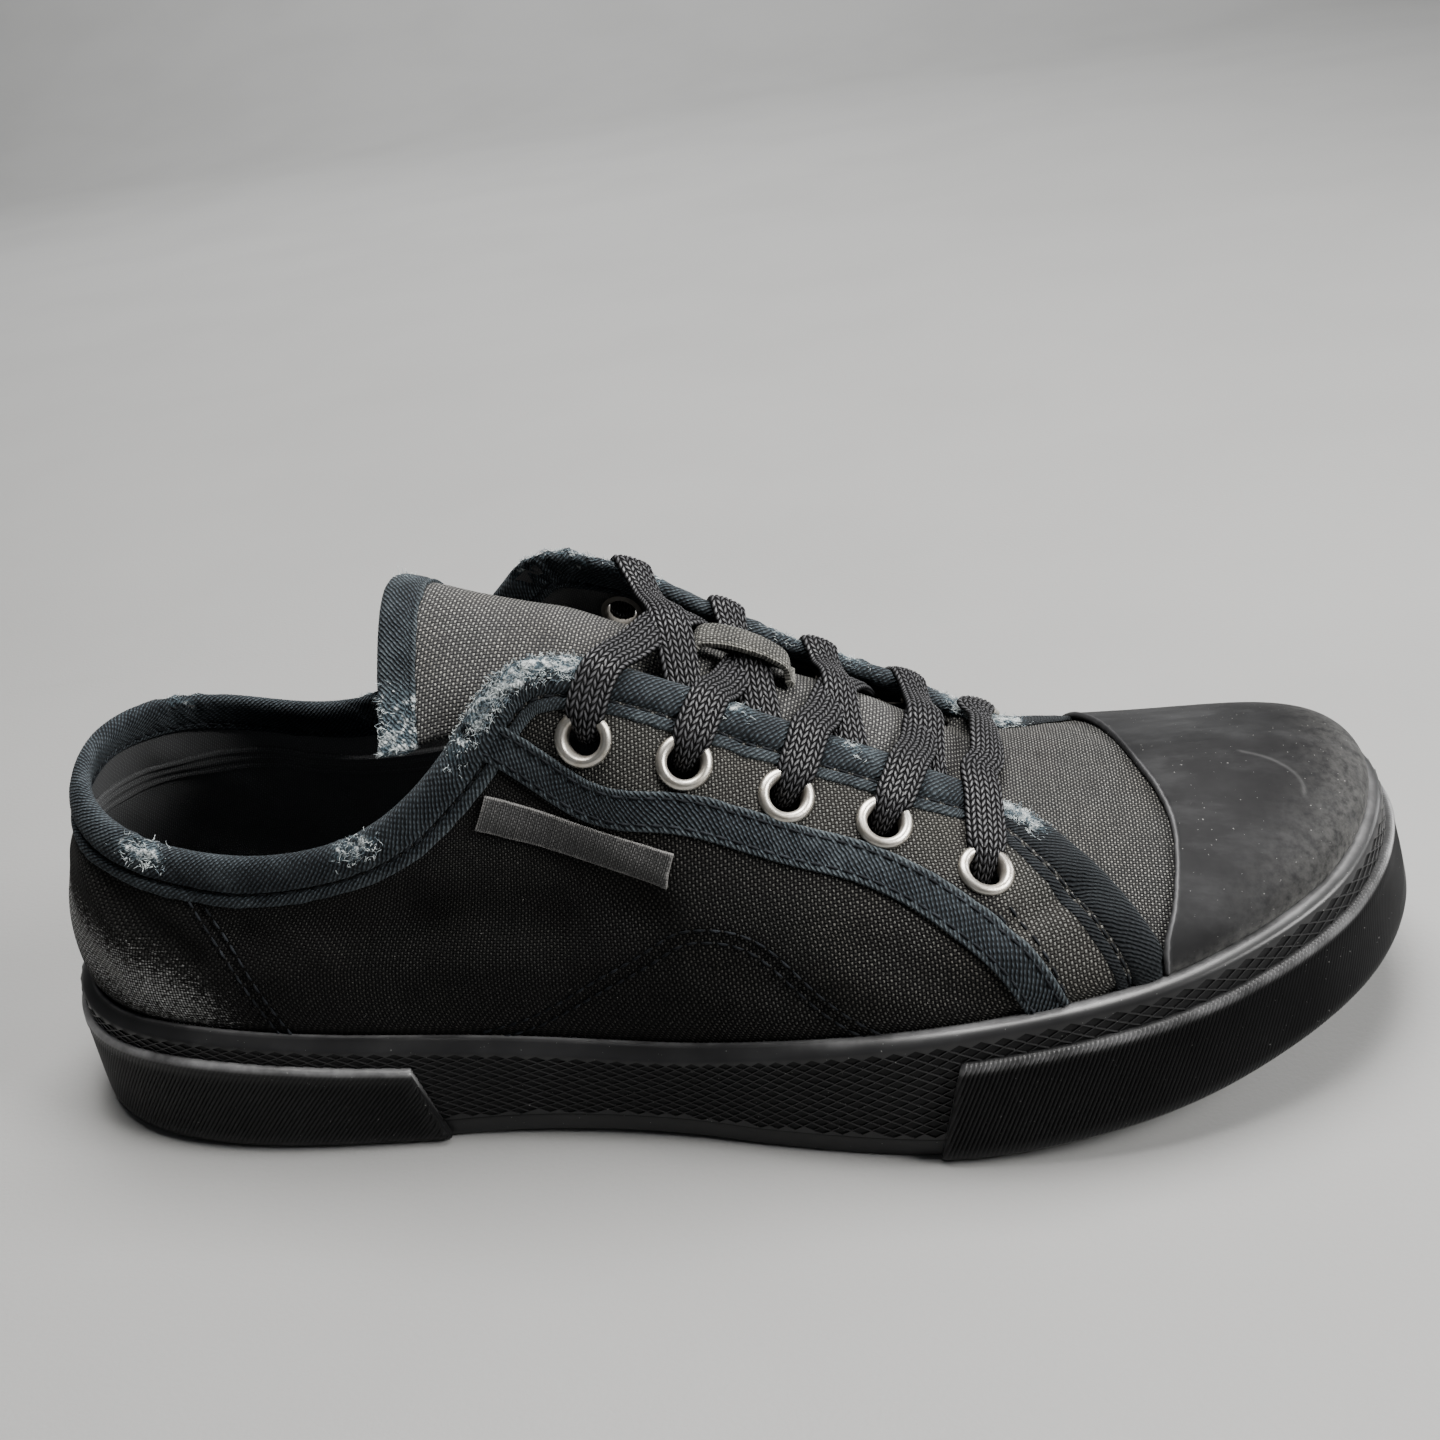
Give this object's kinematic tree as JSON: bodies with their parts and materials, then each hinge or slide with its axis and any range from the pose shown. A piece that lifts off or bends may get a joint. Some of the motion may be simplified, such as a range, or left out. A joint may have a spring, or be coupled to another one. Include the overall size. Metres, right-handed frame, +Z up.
{
  "type": "canvas sneaker",
  "caption": "Worn low-cut canvas sneaker, right shoe, with rubber toe cap, vulcanised sole with foxing and bumpers, standing tongue and flat laces through metal eyelets.",
  "frame": {"origin": "on the ground, under the middle of the shoe's bounding box", "axes": "+X from heel to toe, +Y to the medial (inner) side, +Z up from the ground"},
  "size_m": [0.2979, 0.1084, 0.1105],
  "materials": {
    "canvas": "faded black plain-weave cotton canvas, frayed dark navy binding",
    "rubber": "black vulcanised rubber, satin, scuffed",
    "cap_rubber": "smooth black rubber with a dusty soft sheen",
    "insole_cloth": "dark worn sock lining",
    "nickel": "worn nickel plate",
    "braid": "flat woven cotton braid, dull black",
    "satin": "plain grey woven tab"
  },
  "bodies": {
    "root": {"outsole": "rubber", "foxing": "rubber", "toe_bumper": "rubber", "heel_bumper": "rubber", "toe_cap": "cap_rubber", "upper": "canvas", "tongue": "canvas", "insole": "insole_cloth", "eyelet_l1": "nickel", "eyelet_l2": "nickel", "eyelet_l3": "nickel", "eyelet_l4": "nickel", "eyelet_l5": "nickel", "eyelet_m1": "nickel", "eyelet_m2": "nickel", "eyelet_m3": "nickel", "eyelet_m4": "nickel", "eyelet_m5": "nickel", "lace_bar": "braid", "lace_cross_1": "braid", "lace_cross_2": "braid", "lace_cross_3": "braid", "lace_cross_4": "braid", "lace_keeper": "canvas", "side_tab": "satin"}
  },
  "joints": []
}
